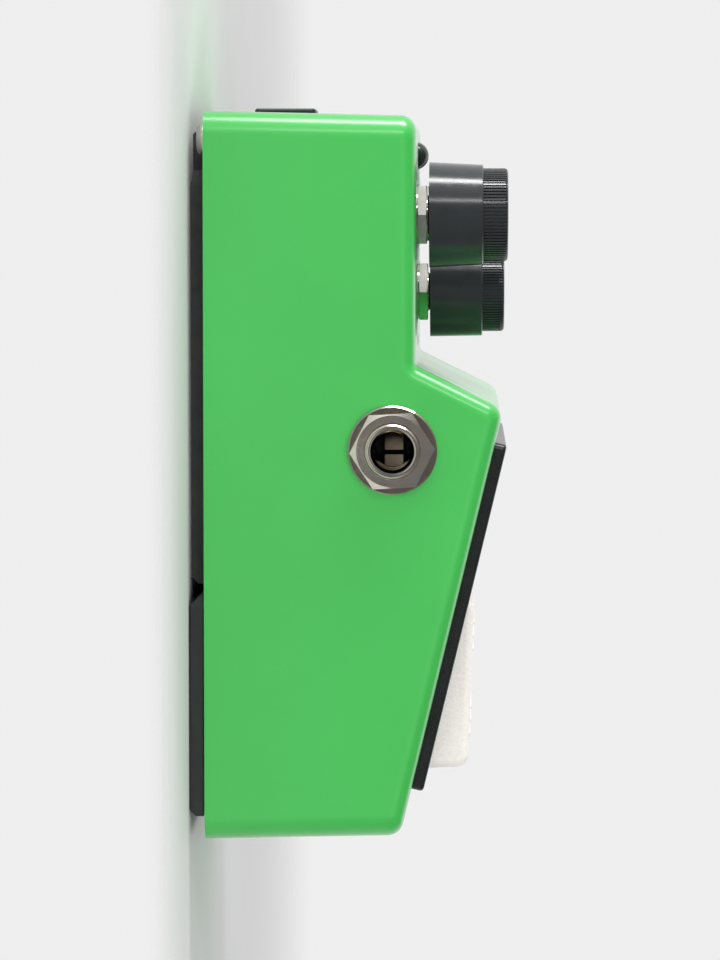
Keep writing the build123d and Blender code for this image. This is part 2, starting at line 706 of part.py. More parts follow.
with BuildPart() as switch_plunger:
    with BuildSketch(Plane.XY.offset(PLUNGER_TOP - PLUNGER_L)):
        with Locations((0, SWITCH_Y)):
            Circle(PLUNGER_R)
    extrude(amount=PLUNGER_L)
    chamfer(switch_plunger.faces().sort_by(Axis.Z)[-1].edges(), 0.4)
save(switch_plunger.part, "switch_plunger")

with BuildPart() as switch_terminals:
    with BuildSketch(Plane.XY.offset(BRACKET_TOP + 0.3)):
        with Locations(*SWITCH_PINS):
            Rectangle(0.7, 0.7)
    extrude(amount=2.6)
save(switch_terminals.part, "switch_terminals")


# ---------------------------------------------------------------- potentiometers
with BuildPart() as pot_cans:
    with BuildSketch(Plane.XY.offset(CAN_FOOT)):
        with Locations(*POTS):
            Circle(CAN_R)
    extrude(amount=CAN_RIM - CAN_FOOT)
    fillet(pot_cans.edges().group_by(Axis.Z)[0], 0.8)
    with BuildSketch(Plane.XY.offset(CAN_FOOT + CAN_T)):
        with Locations(*POTS):
            Circle(CAN_R - CAN_T)
    extrude(amount=CAN_RIM - CAN_FOOT, mode=Mode.SUBTRACT)
    with BuildSketch(Plane.XY.offset(CAN_RIM - WAFER_T - 0.2)):
        with Locations(*[(x, y - CAN_R) for x, y in POTS]):
            Rectangle(WAFER_W + 0.4, 6)
    extrude(amount=3, mode=Mode.SUBTRACT)
save(pot_cans.part, "pot_cans")

with BuildPart() as pot_bushings:
    with BuildSketch(Plane.XY.offset(CAN_RIM)):
        with Locations(*POTS):
            Circle(CAN_R)
    extrude(amount=DECK_UNDER - CAN_RIM)
    with BuildSketch(Plane.XY.offset(DECK_UNDER)):
        with Locations(*POTS):
            Circle(BUSHING_R)
    extrude(amount=KNOB_FOOT - DECK_UNDER)
    chamfer(pot_bushings.edges().group_by(Axis.Z)[-1], 0.3)
    with BuildSketch(Plane.XY.offset(CAN_RIM)):
        with Locations(*POTS):
            Circle(SHAFT_R + FIT)
    extrude(amount=10, mode=Mode.SUBTRACT)
save(pot_bushings.part, "pot_bushings")

with BuildPart() as pot_washers:
    with BuildSketch(Plane.XY.offset(DECK_Z)):
        with Locations(*POTS):
            Circle(POT_WASHER_R)
            Circle(BUSHING_R + FIT, mode=Mode.SUBTRACT)
    extrude(amount=POT_WASHER_T)
save(pot_washers.part, "pot_washers")

pot_nut_solids = [
    hex_nut(
        Plane(origin=(x, y, DECK_Z + POT_WASHER_T)),
        POT_NUT_AF, POT_NUT_T, BUSHING_R + 0.01, 0, POT_NUT_BEVEL,
    )
    for x, y in POTS
]
with BuildPart() as pot_nuts:
    add(pot_nut_solids)
save(pot_nuts.part, "pot_nuts")

with BuildPart() as pot_wafers:
    with BuildSketch(Plane.XY.offset(CAN_RIM - WAFER_T)):
        with Locations(*POTS):
            Circle(CAN_R - CAN_T - 0.1)
        with Locations(*[(x, y - EAR_OUT + 2.2) for x, y in POTS]):
            Rectangle(WAFER_W, 4.4)
        with Locations(*POTS):
            Circle(3.4, mode=Mode.SUBTRACT)
        with Locations(*POT_PINS):
            Circle(0.5, mode=Mode.SUBTRACT)
    extrude(amount=WAFER_T)
save(pot_wafers.part, "pot_wafers")

with BuildPart() as pot_terminals:
    with BuildSketch(Plane.XY.offset(BOARD_Z - 1.0)):
        with Locations(*POT_PINS):
            Circle(0.45)
    extrude(amount=CAN_RIM - BOARD_Z + 1.0)
save(pot_terminals.part, "pot_terminals")


def shaft_section():
    """Adds the D-shaped section of a control shaft to the open sketch."""
    Circle(SHAFT_R)
    with Locations((0, -(SHAFT_FLAT + SHAFT_R))):
        Rectangle(4 * SHAFT_R, 2 * SHAFT_R, mode=Mode.SUBTRACT)


for name, (x, y, foot_r, skirt_r, grip_r, top) in KNOBS.items():
    with BuildPart() as shaft:
        with BuildSketch(Plane(origin=(x, y, WIPER_FOOT))):
            Circle(SHAFT_R)
        extrude(amount=FLAT_Z - WIPER_FOOT)
        with BuildSketch(Plane(origin=(x, y, FLAT_Z))):
            shaft_section()
        extrude(amount=SHAFT_TOP - FLAT_Z)
    save(shaft.part, f"{name}_shaft")

    with BuildPart() as wiper:
        with BuildSketch(Plane(origin=(x, y, WIPER_FOOT))):
            Circle(WIPER_R)
            Circle(SHAFT_R, mode=Mode.SUBTRACT)
        extrude(amount=WIPER_T)
        with BuildSketch(Plane(origin=(x, y, WIPER_FOOT + WIPER_T))):
            with Locations((0, 4.6), (-2.4, -4.2), (2.4, -4.2)):
                Circle(0.6)
        extrude(amount=CAN_RIM - WAFER_T - WIPER_FOOT - WIPER_T - FIT)
    save(wiper.part, f"{name}_wiper")

    with BuildPart() as envelope:
        with BuildSketch(Plane(origin=(x, y, 0), x_dir=(1, 0, 0), z_dir=(0, -1, 0))):
            with BuildLine():
                Polyline(
                    (0, KNOB_FOOT), (foot_r, KNOB_FOOT), (skirt_r, SKIRT_TOP - 0.15),
                    (skirt_r - 0.15, SKIRT_TOP), (grip_r, SKIRT_TOP), (grip_r, top - 0.7),
                )
                ThreePointArc((grip_r, top - 0.7), (grip_r - 0.2, top - 0.2), (grip_r - 0.7, top))
                Polyline((grip_r - 0.7, top), (0, top), (0, KNOB_FOOT))
            make_face()
        revolve(axis=Axis((x, y, 0), (0, 0, 1)))
    # the pointer line runs over the top of the grip and down its side
    line_boxes = [
        ((x, y + grip_r / 2 + 1.0, top), (LINE_W, grip_r, 0.8)),
        ((x, y + grip_r, (SKIRT_TOP + 0.4 + top) / 2), (LINE_W, 1.2, top - SKIRT_TOP - 0.4)),
    ]
    with BuildPart() as pointer_room:
        for centre, size in line_boxes:
            with Locations(centre):
                Box(*size)
    with BuildPart() as knob:
        add(envelope.part)
        # fine upright ribs round the grip, left proud between cut grooves
        with BuildSketch(Plane(origin=(x, y, SKIRT_TOP))):
            with PolarLocations(grip_r, GRIP_RIBS):
                Rectangle(2 * GROOVE_DEPTH, math.pi * grip_r / GRIP_RIBS)
        extrude(amount=top - SKIRT_TOP, mode=Mode.SUBTRACT)
        # hollow underneath, with a hub on the shaft
        with BuildSketch(Plane(origin=(x, y, KNOB_FOOT))):
            Circle(skirt_r - KNOB_WALL)
        extrude(amount=KNOB_HOLLOW, mode=Mode.SUBTRACT)
        with BuildSketch(Plane(origin=(x, y, FLAT_Z))):
            Circle(HUB_R)
        extrude(amount=KNOB_FOOT + KNOB_HOLLOW - FLAT_Z)
        with BuildSketch(Plane(origin=(x, y, FLAT_Z))):
            shaft_section()
        extrude(amount=SHAFT_TOP - FLAT_Z, mode=Mode.SUBTRACT)
        add(pointer_room.part, mode=Mode.SUBTRACT)
    save(knob.part, f"{name}_knob")

    with BuildPart() as pointer:
        add(envelope.part)
        add(pointer_room.part, mode=Mode.INTERSECT)
    save(pointer.part, f"{name}_pointer")


# ---------------------------------------------------------------- status light
dome_z = LED_TOP - LED_R
with BuildPart() as status_led:
    with BuildSketch(Plane(origin=(0, LED_Y, 0), x_dir=(1, 0, 0), z_dir=(0, -1, 0))):
        with BuildLine():
            Polyline(
                (0, LED_TOP), (0, LED_FOOT), (LED_R + 0.4, LED_FOOT), (LED_R + 0.4, LED_FOOT + 1),
                (LED_R, LED_FOOT + 1), (LED_R, dome_z),
            )
            CenterArc((0, dome_z), LED_R, 0, 90)
        make_face()
    revolve(axis=Axis((0, LED_Y, 0), (0, 0, 1)))
save(status_led.part, "status_led")

# each lead drops from the light, steps towards the nose and drops through the board
lead_step_z = LED_FOOT - LED_BEND
with BuildPart() as led_leads:
    for x, pin_y in LED_PINS:
        with BuildSketch(Plane.XY.offset(lead_step_z)):
            with Locations((x, LED_Y)):
                Rectangle(LEAD_W, LEAD_W)
        extrude(amount=LED_FOOT - lead_step_z)
        with BuildSketch(Plane.XY.offset(lead_step_z)):
            with Locations((x, (LED_Y + pin_y) / 2)):
                Rectangle(LEAD_W, LED_Y - pin_y + LEAD_W)
        extrude(amount=LEAD_W)
        with BuildSketch(Plane.XY.offset(BOARD_Z - 0.8)):
            with Locations((x, pin_y)):
                Rectangle(LEAD_W, LEAD_W)
        extrude(amount=lead_step_z + LEAD_W - BOARD_Z + 0.8)
save(led_leads.part, "led_leads")


# ---------------------------------------------------------------- jacks
def jack_seat(side, x):
    """The plane across a jack's axis, at `x` from the middle, facing outwards."""
    return Plane(origin=(side * x, JACK_Y, JACK_Z), x_dir=(0, 0, 1), z_dir=(side, 0, 0))


def leaf_outline(turn, tip):
    """The outline of a bent leaf: in through the side, down to `tip`, and back out."""
    front = [(0, 7.2), (0, 4.6), (-4.0, tip), (-8.0, 4.4)]
    back = [(-8.0, 4.9), (-4.0, tip + LEAF_T), (-0.5, 4.9), (-0.5, 7.2)]
    return [(u, turn * v) for u, v in front + back]


for side, name in ((-1, "output_jack"), (1, "input_jack")):
    with BuildPart() as sleeve:
        with BuildSketch(jack_seat(side, SLEEVE_END)):
            Circle(SLEEVE_R)
            Circle(BORE_R, mode=Mode.SUBTRACT)
        extrude(amount=-SLEEVE_L)
        mouth = sleeve.edges().filter_by(GeomType.CIRCLE).filter_by(
            lambda e: abs(abs(e.center().X) - SLEEVE_END) < 0.01
        )
        chamfer(mouth.filter_by(lambda e: e.radius > SLEEVE_R - 0.1), 0.25)
        with BuildSketch(jack_seat(side, SLEEVE_END)):
            Circle(BORE_R + LEAD_IN * math.tan(math.radians(LEAD_IN_DEG)))
        extrude(amount=-LEAD_IN, taper=LEAD_IN_DEG, mode=Mode.SUBTRACT)
    save(sleeve.part, f"{name}_sleeve")

    with BuildPart() as jack_body:
        with BuildSketch(jack_seat(side, INNER_X)):
            RectangleRounded(JACK_BODY[2], JACK_BODY[1], 0.8)
        extrude(amount=-JACK_BODY[0])
        with BuildSketch(jack_seat(side, INNER_X)):
            Circle(SLEEVE_R)
        extrude(amount=SLEEVE_END - SLEEVE_L - INNER_X, mode=Mode.SUBTRACT)
        with BuildSketch(jack_seat(side, INNER_X)):
            Circle(BORE_R + 0.25)
        extrude(amount=2.0 - JACK_BODY[0], mode=Mode.SUBTRACT)
        # slots for the leaf contacts, through the rear and nose sides of the bore
        for turn in (1, -1):
            with BuildSketch(jack_seat(side, INNER_X - 9.0)):
                with Locations((0, turn * 5.3)):
                    Rectangle(3.6, 5.4)
            extrude(amount=-9.0, mode=Mode.SUBTRACT)
    save(jack_body.part, f"{name}_body")

    with BuildPart() as contacts:
        # bent leaves that reach into the bore from the rear and from the nose
        leaf = Plane(origin=(side * LEAF_X, JACK_Y, JACK_Z), x_dir=(side, 0, 0), z_dir=(0, 0, side))
        for turn, tip in ((1, LEAF_TIPS[0]), (-1, LEAF_TIPS[1])):
            with BuildSketch(leaf):
                with BuildLine():
                    Polyline(*leaf_outline(turn, tip), close=True)
                make_face()
            extrude(amount=LEAF_W / 2, both=True)
    save(contacts.part, f"{name}_contacts")

with BuildPart() as jack_washers:
    for side in (-1, 1):
        with BuildSketch(jack_seat(side, HALF_W)):
            Circle(WASHER_R)
            Circle(SLEEVE_R + 0.1, mode=Mode.SUBTRACT)
        extrude(amount=WASHER_T)
    outer_rims = jack_washers.edges().filter_by(GeomType.CIRCLE).filter_by(
        lambda e: abs(e.radius - WASHER_R) < 0.01 and abs(e.center().X) > HALF_W + 0.1
    )
    chamfer(outer_rims, 0.25)
save(jack_washers.part, "jack_washers")

jack_nut_solids = [
    hex_nut(
        jack_seat(side, HALF_W + WASHER_T),
        NUT_AF, NUT_T, SLEEVE_R + 0.01, -NUT_TURN * side, NUT_BEVEL,
    )
    for side in (-1, 1)
]
with BuildPart() as jack_nuts:
    add(jack_nut_solids)
save(jack_nuts.part, "jack_nuts")


# ---------------------------------------------------------------- power inlet
with BuildPart() as dc_inlet_body:
    with BuildSketch(Plane.XZ.offset(-INLET_FACE)):
        with Locations((0, INLET_MID)):
            RectangleRounded(INLET_W, INLET_H, 0.8)
    extrude(amount=INLET_DEPTH)
    chamfer(dc_inlet_body.faces().sort_by(Axis.Y)[-1].edges(), 0.3)
    with BuildSketch(Plane.XZ.offset(-INLET_FACE)):
        with Locations((0, INLET_MID)):
            Circle(INLET_HOLE_R)
    extrude(amount=INLET_DEPTH - INLET_BACK, mode=Mode.SUBTRACT)
save(dc_inlet_body.part, "dc_inlet_body")

with BuildPart() as dc_inlet_pin:
    with BuildSketch(Plane.XZ.offset(-INLET_FACE + 1.2)):
        with Locations((0, INLET_MID)):
            Circle(INLET_PIN_R)
    extrude(amount=INLET_DEPTH - INLET_BACK - 1.2)
    fillet(dc_inlet_pin.faces().sort_by(Axis.Y)[-1].edges(), 0.5)
save(dc_inlet_pin.part, "dc_inlet_pin")

with BuildPart() as dc_inlet_contacts:
    with BuildSketch(Plane.XY.offset(INLET_Z[1])):
        with Locations(*INLET_PINS):
            Rectangle(0.8, 0.5)
    extrude(amount=BOARD_Z + BOARD_T + 0.8 - INLET_Z[1])
save(dc_inlet_contacts.part, "dc_inlet_contacts")


# ---------------------------------------------------------------- main board
with BuildPart() as main_board:
    with BuildSketch(Plane.XY.offset(BOARD_Z)):
        with Locations((0, sum(BOARD_Y) / 2)):
            RectangleRounded(2 * BOARD_X, BOARD_Y[1] - BOARD_Y[0], 1.0)
        with Locations(*POT_PINS):
            Circle(0.55, mode=Mode.SUBTRACT)
        with Locations(*LED_PINS):
            Circle(0.45, mode=Mode.SUBTRACT)
        with Locations(*INLET_PINS):
            Circle(PIN_HOLE_R, mode=Mode.SUBTRACT)
    extrude(amount=BOARD_T)
save(main_board.part, "main_board")

with BuildPart() as op_amp:
    with BuildSketch(Plane.XY.offset(BOARD_Z - 4.0)):
        with Locations(AMP):
            Rectangle(9.6, 6.4)
    extrude(amount=3.4)
    chamfer(op_amp.edges().group_by(Axis.Z)[0], 0.4)
    leg_x = [AMP[0] + 2.54 * step for step in (-1.5, -0.5, 0.5, 1.5)]
    with BuildSketch(Plane.XY.offset(BOARD_Z - 2.6)):
        with Locations(*[(x, AMP[1] + s * 3.6) for x in leg_x for s in (-1, 1)]):
            Rectangle(0.6, 1.0)
    extrude(amount=2.6)
save(op_amp.part, "op_amp")

with BuildPart() as electrolytic_capacitors:
    for x, y, radius, height in ELECTROLYTICS:
        with BuildSketch(Plane.XY.offset(BOARD_Z)):
            with Locations((x, y)):
                Circle(radius)
        extrude(amount=-height)
    can_ends = electrolytic_capacitors.edges().filter_by(GeomType.CIRCLE).filter_by(
        lambda e: e.center().Z < BOARD_Z - 1
    )
    fillet(can_ends, 0.5)
save(electrolytic_capacitors.part, "electrolytic_capacitors")

with BuildPart() as film_capacitors:
    for x, y in FILM_CAPS:
        with BuildSketch(Plane.XY.offset(BOARD_Z)):
            with Locations((x, y)):
                RectangleRounded(7.2, 3.0, 0.8)
        extrude(amount=-7.5)
save(film_capacitors.part, "film_capacitors")

with BuildPart() as resistors:
    for x, y in RESISTORS:
        with BuildSketch(Plane.YZ.offset(x)):
            with Locations((y, BOARD_Z - 1.4)):
                Circle(RESISTOR_R)
        extrude(amount=RESISTOR_L / 2, both=True)
        with BuildSketch(Plane.YZ.offset(x)):
            with Locations((y, BOARD_Z - 1.4)):
                Circle(RESISTOR_LEAD_R)
        extrude(amount=RESISTOR_L / 2 + 1.6, both=True)
        with BuildSketch(Plane.XY.offset(BOARD_Z)):
            with Locations((x - RESISTOR_L * 0.75, y), (x + RESISTOR_L * 0.75, y)):
                Rectangle(1.6 * RESISTOR_LEAD_R, 1.6 * RESISTOR_LEAD_R)
        extrude(amount=-1.5)
save(resistors.part, "resistors")

with BuildPart() as transistors:
    for x, y in TRANSISTORS:
        with BuildSketch(Plane.XY.offset(BOARD_Z - 7.0)):
            with Locations((x, y)):
                Circle(2.4)
            with Locations((x, y - 2.6)):
                Rectangle(6, 2.4, mode=Mode.SUBTRACT)
        extrude(amount=4.8)
        with BuildSketch(Plane.XY.offset(BOARD_Z)):
            with Locations((x - 1.27, y), (x, y), (x + 1.27, y)):
                Rectangle(0.45, 0.45)
        extrude(amount=-2.4)
save(transistors.part, "transistors")


# ---------------------------------------------------------------- battery
with BuildPart() as battery:
    with Locations(CELL_MID):
        Box(*CELL)
    fillet(battery.edges().filter_by(Axis.X), 2.2)
    chamfer(battery.edges().filter_by(Plane.YZ), 0.35)
save(battery.part, "battery")

with BuildPart() as battery_terminals:
    with BuildSketch(Plane.YZ.offset(CELL_RIGHT)):
        with Locations(POLES[0]):
            Circle(2.9)
        with Locations(POLES[1]):
            RegularPolygon(3.9, 6)
            Circle(3.0, mode=Mode.SUBTRACT)
    extrude(amount=POLE_H)
save(battery_terminals.part, "battery_terminals")

with BuildPart() as battery_snap:
    with BuildSketch(Plane.YZ.offset(CELL_RIGHT + 0.2)):
        with Locations((CELL_MID[1], CELL_MID[2])):
            RectangleRounded(25.4, 12.6, 5.5)
    extrude(amount=SNAP_T)
    with BuildSketch(Plane.YZ.offset(CELL_RIGHT)):
        with Locations(*POLES):
            Circle(4.1)
    extrude(amount=POLE_H + 0.4, mode=Mode.SUBTRACT)
save(battery_snap.part, "battery_snap")


# ---------------------------------------------------------------- wiring
def wire(*points):
    """A round insulated wire along straight runs joined by small arcs."""
    with BuildPart() as core:
        with BuildLine():
            FilletPolyline(*points, radius=WIRE_BEND)
        with BuildSketch(Plane(origin=points[0], z_dir=Vector(*points[1]) - Vector(*points[0]))):
            Circle(WIRE_R)
        sweep()
    return core.part


# from the battery snap, up into the board
snap_x = CELL_RIGHT + 0.2 + SNAP_T
lead_x = snap_x + 4
battery_wires = [
    wire(
        (snap_x, CELL_MID[1] + dy, LEAD_Z),
        (lead_x, CELL_MID[1] + dy, LEAD_Z),
        (lead_x, 21 + dy, LEAD_Z),
        (lead_x, 21 + dy, BOARD_Z),
    )
    for dy in (-1.5, 1.5)
]
with BuildPart() as battery_leads:
    add(battery_wires)
save(battery_leads.part, "battery_leads")

# from each jack, down and back into the board
jack_back = INNER_X - JACK_BODY[0]
jack_drop = jack_back - 4
jack_wires = [
    wire(
        (side * jack_back, JACK_Y, JACK_Z),
        (side * jack_drop, JACK_Y, JACK_Z),
        (side * jack_drop, JACK_Y, 18.0),
        (side * jack_drop, 20.2, 18.0),
        (side * jack_drop, 20.2, BOARD_Z),
    )
    for side in (-1, 1)
]
# from the switch board, over the bracket's edge and back under the jacks
switch_wires = [
    wire(
        (x, SWITCH_Y + 18.0, SWITCH_BASE),
        (x, SWITCH_Y + 18.0, SWITCH_RUN_Z),
        (x, -2.0, SWITCH_RUN_Z),
        (x, -2.0, LEAD_Z),
        (x, 22.8, LEAD_Z),
        (x, 22.8, BOARD_Z),
    )
    for x in (-3.0, 0.0, 3.0)
]
with BuildPart() as hook_up_wires:
    add(jack_wires + switch_wires)
save(hook_up_wires.part, "hook_up_wires")
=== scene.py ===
import math

import bmesh
import bpy
from mathutils import Matrix, Vector


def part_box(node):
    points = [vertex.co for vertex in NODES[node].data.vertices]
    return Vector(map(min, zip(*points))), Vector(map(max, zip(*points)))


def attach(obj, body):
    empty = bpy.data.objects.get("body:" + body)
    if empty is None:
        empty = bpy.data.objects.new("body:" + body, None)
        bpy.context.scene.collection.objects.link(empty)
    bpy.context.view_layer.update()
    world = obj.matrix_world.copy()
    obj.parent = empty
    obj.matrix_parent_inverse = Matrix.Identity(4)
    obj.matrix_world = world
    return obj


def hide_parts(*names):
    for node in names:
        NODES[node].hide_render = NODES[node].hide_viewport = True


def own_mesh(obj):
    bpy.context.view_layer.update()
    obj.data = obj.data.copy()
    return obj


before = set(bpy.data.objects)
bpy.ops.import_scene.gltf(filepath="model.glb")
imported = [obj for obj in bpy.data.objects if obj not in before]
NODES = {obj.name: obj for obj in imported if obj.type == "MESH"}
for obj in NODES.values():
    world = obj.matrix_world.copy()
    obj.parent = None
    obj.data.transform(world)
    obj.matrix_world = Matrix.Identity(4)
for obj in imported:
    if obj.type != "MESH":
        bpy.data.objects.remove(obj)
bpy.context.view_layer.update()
MM = 0.001
KNOBS = ("drive", "tone", "level")

# ribs on the treadle
TREADLE_FALL = 1.05 / 29.1        # the treadle's top falls this much towards the nose
RIB_ROWS = 3                      # rows near each end
RIB_SPACING = 2.4 * MM
RIB_REAR_MARGIN = 3.2 * MM
RIB_NOSE_MARGIN = 4.6 * MM
RIB_CENTRE = 12.0 * MM            # each row has a rib on either side of the middle
RIB_REACH = 8.5 * MM
RIB_HALF_WIDTH = 0.55 * MM
RIB_HEIGHT = 0.35 * MM
RIB_END_STEPS = 6
RIB_RINGS = ((0.0, -0.25), (0.0, 0.55), (0.18, 0.9), (0.45, 1.0))   # inset share, lift share

# dial marks printed round the knobs
TICKS = 11
LONG_TICKS = (0, 5, 10)
TICK_START = -150                 # degrees
TICK_STEP = 30
TICK_INNER = 1.1 * MM             # measured from the knob's rim
TICK_OUTER = 2.8 * MM
TICK_SHORTER = 0.5 * MM
TICK_HALF_WIDTH = 0.22 * MM
TICK_BELOW = 0.02 * MM
TICK_ABOVE = 0.03 * MM

# return springs
WIRE_R = 0.35 * MM
SPRING_TURNS = 7
STEPS_PER_TURN = 24
END_CLOSING = 0.05                # how far the end turns close up, as on a ground spring

# stage
FLOOR_SIZE = 8.0
FLOOR_FADE = (0.12, 0.55)         # the floor thins out between these distances from the pedal
FLOOR_OPENING = (-0.052, -0.13)   # and, for the camera only, between these places on X
SKY = 0.86                        # how bright the plain background is drawn
ROOM_PALE = 0.95
ROOM_DARK = 0.16
DARK_WAY = (-0.72, -0.28, 0.63)
DARK_FADE_END = 0.72              # how squarely a direction faces the dark side to be darkest

# lights: name, place, width, height, watts, shows in reflections
LIT_POINT = (0.0, 0.0, 0.028)
LIGHTS = (
    ("rear_strip", (-0.12, 0.75, 0.12), 0.13, 0.7, 5.6, True),
    ("near_strip", (-0.70, 0.48, 0.20), 0.05, 0.5, 0.9, True),
    ("far_side", (0.50, -0.20, 0.75), 0.6, 0.6, 0.5, True),
    ("front_fill", (-0.85, -0.15, 0.35), 0.6, 0.6, 4.9, False),
)

# camera: it looks along +X at the left side, rolled a quarter turn so that the rear is up
LENS = 144.6
SENSOR_WIDTH = 36.0
CAMERA_AT = Vector((-0.6913, 0.0476, 0.0467))
LOOKS_AT = Vector((0.0, -0.0034, 0.0284))
CLIP_NEAR = 0.01
CLIP_FAR = 20.0


# ---------------------------------------------------------------- materials
class Nodes:
    """Short ways to add nodes to a tree and join them."""

    def __init__(self, tree):
        self.tree = tree

    def node(self, kind, **values):
        made = self.tree.nodes.new(kind)
        for key, value in values.items():
            if key in made.inputs:
                made.inputs[key].default_value = value
            else:
                setattr(made, key, value)
        return made

    def link(self, output, target):
        self.tree.links.new(output, target)

    def ramp(self, value, from_min, from_max, to_min=0.0, to_max=1.0, kind="LINEAR"):
        """Maps a value from one range to another and holds it at the ends."""
        made = self.node("ShaderNodeMapRange", interpolation_type=kind)
        ends = {"From Min": from_min, "From Max": from_max, "To Min": to_min, "To Max": to_max}
        for socket, number in ends.items():
            made.inputs[socket].default_value = number
        self.link(value, made.inputs["Value"])
        return made.outputs["Result"]

    def vector_math(self, operation, vector, other=None, result="Vector"):
        made = self.node("ShaderNodeVectorMath", operation=operation)
        self.link(vector, made.inputs[0])
        if other is not None:
            made.inputs[1].default_value = other
        return made.outputs[result]

    def number_math(self, operation, first, second):
        made = self.node("ShaderNodeMath", operation=operation)
        self.link(first, made.inputs[0])
        self.link(second, made.inputs[1])
        return made.outputs["Value"]

    def camera_ray(self):
        return self.node("ShaderNodeLightPath").outputs["Is Camera Ray"]


class Finish(Nodes):
    """A procedural material: a principled shader and short ways to vary it over the surface."""

    def __init__(self, name, color, roughness, metallic=0.0, ior=1.5):
        self.material = bpy.data.materials.new(name)
        self.material.use_nodes = True
        super().__init__(self.material.node_tree)
        self.shader = self.tree.nodes["Principled BSDF"]
        self.color = color
        self.roughness = roughness
        self.normal = None
        self.set("Base Color", (*color, 1.0))
        self.set("Roughness", roughness)
        self.set("Metallic", metallic)
        self.set("IOR", ior)
        self.place = self.node("ShaderNodeTexCoord").outputs["Object"]

    def set(self, socket, value):
        self.shader.inputs[socket].default_value = value
        return self

    def coat(self, weight, roughness):
        return self.set("Coat Weight", weight).set("Coat Roughness", roughness)

    def along_x(self):
        """The place along the part's X axis."""
        split = self.node("ShaderNodeSeparateXYZ")
        self.link(self.place, split.inputs["Vector"])
        return split.outputs["X"]

    def noise(self, scale, detail=3.0, stretch=(1, 1, 1)):
        """Noise in the part's own frame; a stretch above 1 packs it closer along that axis."""
        mapping = self.node("ShaderNodeMapping", Scale=stretch)
        texture = self.node("ShaderNodeTexNoise", Scale=scale, Detail=detail)
        self.link(self.place, mapping.inputs["Vector"])
        self.link(mapping.outputs["Vector"], texture.inputs["Vector"])
        return texture.outputs["Fac"]

    def cells(self, scale, feature="F1"):
        """Rounded cells in the part's own frame."""
        texture = self.node("ShaderNodeTexVoronoi", Scale=scale, feature=feature)
        self.link(self.place, texture.inputs["Vector"])
        return texture.outputs["Distance"]

    def blend(self, share, first, second):
        """Colours the surface from `first` to `second` as the share goes from 0 to 1."""
        mix = self.node("ShaderNodeMix", data_type="RGBA")
        mix.inputs["A"].default_value = (*first, 1)
        mix.inputs["B"].default_value = (*second, 1)
        self.link(share, mix.inputs["Factor"])
        self.link(mix.outputs["Result"], self.shader.inputs["Base Color"])
        return self

    def mottle(self, amount, scale, detail=3.0, stretch=(1, 1, 1)):
        """Lets the colour wander by `amount` either way."""
        share = self.ramp(self.noise(scale, detail, stretch), 0.3, 0.7)
        darker = [c * (1 - amount) for c in self.color]
        lighter = [min(1.0, c * (1 + amount)) for c in self.color]
        return self.blend(share, darker, lighter)

    def smudge(self, spread, scale, detail=4.0, stretch=(1, 1, 1)):
        """Lets the roughness wander by `spread` either way."""
        smoother = self.roughness - spread
        rougher = self.roughness + spread
        varied = self.ramp(self.noise(scale, detail, stretch), 0.3, 0.7, smoother, rougher)
        self.link(varied, self.shader.inputs["Roughness"])
        return self

    def relief(self, height, depth, strength=1.0):
        """Adds a bump of `depth` metres from a height output; calls stack."""
        bump = self.node("ShaderNodeBump", Strength=strength, Distance=depth)
        self.link(height, bump.inputs["Height"])
        if self.normal is not None:
            self.link(self.normal, bump.inputs["Normal"])
        self.normal = bump.outputs["Normal"]
        self.link(self.normal, self.shader.inputs["Normal"])
        return self


def green_enamel():
    """Gloss enamel: a clear coat over the colour, with a faint orange peel."""
    made = Finish("green_enamel", (0.048, 0.480, 0.080), 0.32)
    made.coat(1.0, 0.26).mottle(0.035, 25).smudge(0.03, 90)
    return made.relief(made.noise(700, 1), 0.00002, 0.05).material


def rubber(name, color, roughness):
    """Moulded rubber, whose fine skin still shines at a low angle."""
    made = Finish(name, color, roughness).mottle(0.12, 300).smudge(0.05, 900)
    return made.relief(made.noise(3200, 3), 0.00003, 0.35).material


def moulded_plastic(name, color, roughness, grain, polish=0.0):
    """Moulded plastic; `polish` is how far its skin shines like lacquer."""
    made = Finish(name, color, roughness).mottle(0.06, 400).smudge(0.04, 700)
    made.coat(polish, 0.17)
    return made.relief(made.noise(4200, 3), grain, 0.35).material


def plated(name, color, roughness, stretch=(1, 1, 1)):
    """Nickel or zinc plate: slight tarnish in patches and fine turning marks."""
    made = Finish(name, color, roughness, metallic=1.0)
    made.mottle(0.08, 350, 3).smudge(0.04, 1500, 4, stretch)
    return made.relief(made.noise(900, 2, stretch), 0.00002, 0.2).material


def turned_nickel(name, color, axis_y, axis_z, depth):
    """Nickel plate over faces turned on a lathe: rings `depth` deep about an axis along X."""
    made = Finish(name, color, 0.09, metallic=1.0)
    centred = made.vector_math("SUBTRACT", made.place, (0.0, axis_y, axis_z))
    across = made.vector_math("MULTIPLY", centred, (0.0, 1.0, 1.0))
    reach = made.vector_math("LENGTH", across, result="Value")
    rings = made.node("ShaderNodeTexNoise", Scale=3800, Detail=2, noise_dimensions="1D")
    made.link(reach, rings.inputs["W"])
    made.mottle(0.10, 350, 3).smudge(0.04, 1500)
    return made.relief(rings.outputs["Fac"], depth, 0.5).material


def treadle_silver():
    """Fine-grained silver paint over a casting."""
    made = Finish("treadle_silver", (0.95, 0.91, 0.86), 0.42)
    made.coat(0.15, 0.3).mottle(0.05, 2600, 2).smudge(0.06, 1200)
    return made.relief(made.noise(3400, 4), 0.00012, 0.6).material


def circuit_board():
    """Glass-fibre board under a thin green mask, with the hint of its traces."""
    made = Finish("board_green", (0.03, 0.16, 0.06), 0.35).coat(0.4, 0.2)
    made.mottle(0.25, 700, 1, (1, 3, 1)).smudge(0.05, 900)
    return made.relief(made.cells(900, "SMOOTH_F1"), 0.00004, 0.3).material


